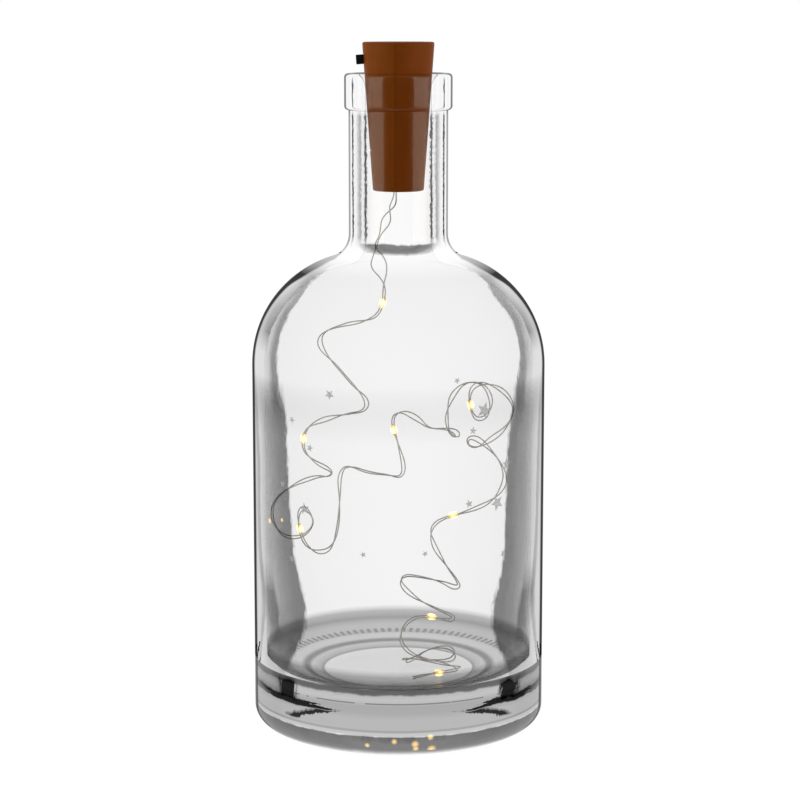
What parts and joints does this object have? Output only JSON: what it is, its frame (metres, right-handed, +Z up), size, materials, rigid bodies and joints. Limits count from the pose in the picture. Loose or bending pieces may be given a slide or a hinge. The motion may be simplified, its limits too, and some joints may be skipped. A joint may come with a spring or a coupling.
{
  "type": "bottle light",
  "caption": "Clear round glass bottle with a collared neck, closed by a tapered cork-shaped battery stopper with a side slide switch that hangs a fine wire string of LED drops inside it.",
  "frame": {"origin": "middle of the bottle's base, on the surface that it stands on", "axes": "+Z up along the bottle's axis, front towards -Y, switch and battery door towards -X"},
  "size_m": [0.0904, 0.0904, 0.2114],
  "materials": {
    "clear_glass": "clear, polished",
    "stopper_plastic": "satin moulded plastic, cork brown",
    "knob_plastic": "satin black",
    "cell_steel": "plated steel can",
    "contact_metal": "sprung strip",
    "switch_steel": "folded sheet",
    "board": "lacquered laminate",
    "resistor_body": "ceramic chip",
    "switch_insulator": "pressed laminate",
    "seal_rubber": "soft grommet",
    "wire": "bare silvered wire",
    "led_chip": "warm white LED",
    "led_resin": "clear resin drop, lit warm yellow"
  },
  "bodies": {
    "bottle": {"bottle": "clear_glass"},
    "stopper": {"stopper_shell_left": "stopper_plastic", "stopper_shell_right": "stopper_plastic", "battery_door": "stopper_plastic", "contact_positive": "contact_metal", "contact_negative": "contact_metal", "circuit_board": "board", "resistor": "resistor_body", "switch_frame": "switch_steel", "switch_base": "switch_insulator", "switch_terminals": "contact_metal", "wire_seal": "seal_rubber", "button_cell_1": "cell_steel", "button_cell_2": "cell_steel", "button_cell_3": "cell_steel", "lead_1": "wire", "lead_2": "wire", "wire_strand_1": "wire", "wire_strand_2": "wire", "led_chip_1": "led_chip", "led_chip_2": "led_chip", "led_chip_3": "led_chip", "led_chip_4": "led_chip", "led_chip_5": "led_chip", "led_chip_6": "led_chip", "led_chip_7": "led_chip", "led_chip_8": "led_chip", "led_bead_1": "led_resin", "led_bead_2": "led_resin", "led_bead_3": "led_resin", "led_bead_4": "led_resin", "led_bead_5": "led_resin", "led_bead_6": "led_resin", "led_bead_7": "led_resin", "led_bead_8": "led_resin"},
    "switch_slider": {"switch_knob": "knob_plastic", "switch_wiper": "contact_metal"}
  },
  "joints": [
    {"name": "stopper_lift", "type": "slide", "parent": "bottle", "child": "stopper", "axis": [0, 0, 1], "range_m": [0, 0.04], "deforming": ["wire_strand_1", "wire_strand_2", "led_chip_1", "led_chip_2", "led_chip_3", "led_chip_4", "led_chip_5", "led_chip_6", "led_chip_7", "led_chip_8", "led_bead_1", "led_bead_2", "led_bead_3", "led_bead_4", "led_bead_5", "led_bead_6", "led_bead_7", "led_bead_8"]},
    {"name": "switch_slide", "type": "slide", "parent": "stopper", "child": "switch_slider", "axis": [0, 1, 0], "range_m": [0, 0.002]}
  ]
}
